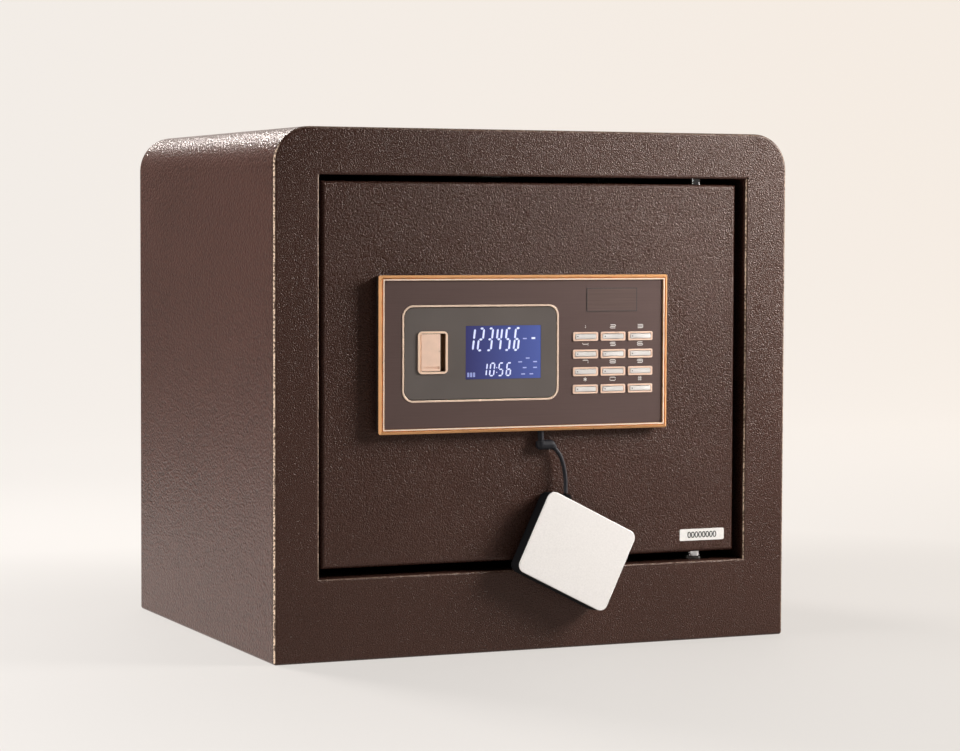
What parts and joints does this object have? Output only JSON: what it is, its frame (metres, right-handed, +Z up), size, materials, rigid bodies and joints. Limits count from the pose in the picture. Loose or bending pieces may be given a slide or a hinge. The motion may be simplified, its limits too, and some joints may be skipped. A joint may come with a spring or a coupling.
{
  "type": "in-room safe",
  "caption": "Steel in-room safe with a hinged door, electronic keypad lock panel, motor-driven bolts and a hanging emergency battery box.",
  "frame": {"origin": "centre of the cabinet's footprint, on the floor, measured without the lock panel and battery box", "axes": "+X to the right seen from the front, +Y to the back, +Z up"},
  "size_m": [0.382, 0.3183, 0.354],
  "materials": {
    "body_coat": "textured",
    "inner_coat": "satin",
    "carpet": "felt",
    "zinc_steel": "satin",
    "chrome_steel": "polished",
    "black_plastic": "matte",
    "brown_plastic": "gloss",
    "dark_steel": "oiled",
    "brass": "satin",
    "cell_jacket": "gloss",
    "gold_trim": "metallised",
    "rose_gold": "metallised",
    "brushed_brown": "brushed",
    "smoked_window": "gloss",
    "lcd_blue": "gloss",
    "board_green": "satin",
    "silicone": "matte",
    "silver_key": "satin",
    "white_plastic": "gloss",
    "label_white": "satin",
    "red_plastic": "gloss",
    "cord_black": "satin"
  },
  "bodies": {
    "cabinet": {"front_frame": "body_coat", "door_jamb": "body_coat", "wrap_shell": "body_coat", "base_plate": "body_coat", "back_panel": "body_coat", "floor_mat": "carpet", "keeper_channel": "inner_coat", "hinge_blocks": "zinc_steel", "shelf": "inner_coat", "shelf_rails": "inner_coat"},
    "door": {"door_plate": "body_coat", "door_pan": "inner_coat", "door_cover": "inner_coat", "cover_screws": "chrome_steel", "hinge_pins": "dark_steel", "bolt_guides": "black_plastic", "carriage_posts": "zinc_steel", "gear_motor": "zinc_steel", "lock_cylinder": "brass", "battery_tray": "black_plastic", "tray_cells": "cell_jacket", "panel_housing": "brown_plastic", "panel_trim": "gold_trim", "fascia": "brushed_brown", "window_bezel": "gold_trim", "window_plate": "smoked_window", "lcd_glass": "lcd_blue", "lcd_module": "board_green", "key_surrounds": "rose_gold", "key_mat": "silicone", "control_board": "board_green", "name_plate": "brushed_brown", "cover_pocket": "rose_gold", "dc_socket": "black_plastic", "serial_label": "label_white"},
    "carriage": {"bolt_carriage": "zinc_steel", "bolts": "chrome_steel"},
    "drive_pinion": {"pinion": "white_plastic"},
    "lock_plug": {"key_plug": "brass"},
    "lock_flap": {"key_flap": "rose_gold"},
    "reset": {"reset_button": "red_plastic"},
    "hatch": {"battery_hatch": "black_plastic"},
    "plug": {"cord_plug": "cord_black", "pack_cord": "cord_black"},
    "battery_box": {"pack_case": "black_plastic", "pack_face": "white_plastic", "pack_back": "black_plastic", "pack_cells": "cell_jacket"},
    "key_1": {"key_1": "silver_key"},
    "key_2": {"key_2": "silver_key"},
    "key_3": {"key_3": "silver_key"},
    "key_4": {"key_4": "silver_key"},
    "key_5": {"key_5": "silver_key"},
    "key_6": {"key_6": "silver_key"},
    "key_7": {"key_7": "silver_key"},
    "key_8": {"key_8": "silver_key"},
    "key_9": {"key_9": "silver_key"},
    "key_star": {"key_star": "silver_key"},
    "key_0": {"key_0": "silver_key"},
    "key_hash": {"key_hash": "silver_key"}
  },
  "joints": [
    {"name": "door_hinge", "type": "hinge", "parent": "cabinet", "child": "door", "pos_m": [0.1295, -0.13, 0.19], "axis": [0, 0, 1], "range_deg": [0, 95]},
    {"name": "bolt_slide", "type": "slide", "parent": "door", "child": "carriage", "axis": [-1, 0, 0], "range_m": [0, 0.018]},
    {"name": "pinion_spin", "type": "hinge", "parent": "door", "child": "drive_pinion", "pos_m": [-0.036, -0.125, 0.1184], "axis": [0, -1, 0], "range_deg": [0, 104]},
    {"name": "lock_turn", "type": "hinge", "parent": "door", "child": "lock_plug", "pos_m": [-0.08035, -0.13, 0.2045], "axis": [0, -1, 0], "range_deg": [0, 90]},
    {"name": "flap_hinge", "type": "hinge", "parent": "door", "child": "lock_flap", "pos_m": [-0.0884, -0.1535, 0.2045], "axis": [0, 0, -1], "range_deg": [0, 95]},
    {"name": "reset_press", "type": "slide", "parent": "door", "child": "reset", "axis": [0, -1, 0], "range_m": [0, 0.0015], "stiffness_N_per_m": 300},
    {"name": "hatch_slide", "type": "slide", "parent": "door", "child": "hatch", "axis": [-1, 0, 0], "range_m": [0, 0.02]},
    {"name": "plug_pull", "type": "slide", "parent": "door", "child": "plug", "axis": [0, 0, -1], "range_m": [0, 0.016]},
    {"name": "box_swing", "type": "hinge", "parent": "plug", "child": "battery_box", "pos_m": [0.0184, -0.15435, 0.104], "axis": [0, 1, 0], "range_deg": [-12, 12]},
    {"name": "key_1_press", "type": "slide", "parent": "door", "child": "key_1", "axis": [0, 1, 0], "range_m": [0, 0.0008], "stiffness_N_per_m": 300},
    {"name": "key_2_press", "type": "slide", "parent": "door", "child": "key_2", "axis": [0, 1, 0], "range_m": [0, 0.0008], "stiffness_N_per_m": 300},
    {"name": "key_3_press", "type": "slide", "parent": "door", "child": "key_3", "axis": [0, 1, 0], "range_m": [0, 0.0008], "stiffness_N_per_m": 300},
    {"name": "key_4_press", "type": "slide", "parent": "door", "child": "key_4", "axis": [0, 1, 0], "range_m": [0, 0.0008], "stiffness_N_per_m": 300},
    {"name": "key_5_press", "type": "slide", "parent": "door", "child": "key_5", "axis": [0, 1, 0], "range_m": [0, 0.0008], "stiffness_N_per_m": 300},
    {"name": "key_6_press", "type": "slide", "parent": "door", "child": "key_6", "axis": [0, 1, 0], "range_m": [0, 0.0008], "stiffness_N_per_m": 300},
    {"name": "key_7_press", "type": "slide", "parent": "door", "child": "key_7", "axis": [0, 1, 0], "range_m": [0, 0.0008], "stiffness_N_per_m": 300},
    {"name": "key_8_press", "type": "slide", "parent": "door", "child": "key_8", "axis": [0, 1, 0], "range_m": [0, 0.0008], "stiffness_N_per_m": 300},
    {"name": "key_9_press", "type": "slide", "parent": "door", "child": "key_9", "axis": [0, 1, 0], "range_m": [0, 0.0008], "stiffness_N_per_m": 300},
    {"name": "key_star_press", "type": "slide", "parent": "door", "child": "key_star", "axis": [0, 1, 0], "range_m": [0, 0.0008], "stiffness_N_per_m": 300},
    {"name": "key_0_press", "type": "slide", "parent": "door", "child": "key_0", "axis": [0, 1, 0], "range_m": [0, 0.0008], "stiffness_N_per_m": 300},
    {"name": "key_hash_press", "type": "slide", "parent": "door", "child": "key_hash", "axis": [0, 1, 0], "range_m": [0, 0.0008], "stiffness_N_per_m": 300}
  ],
  "couplings": [
    {"joint": "pinion_spin", "follows": "bolt_slide", "rad_per_m": 100}
  ]
}
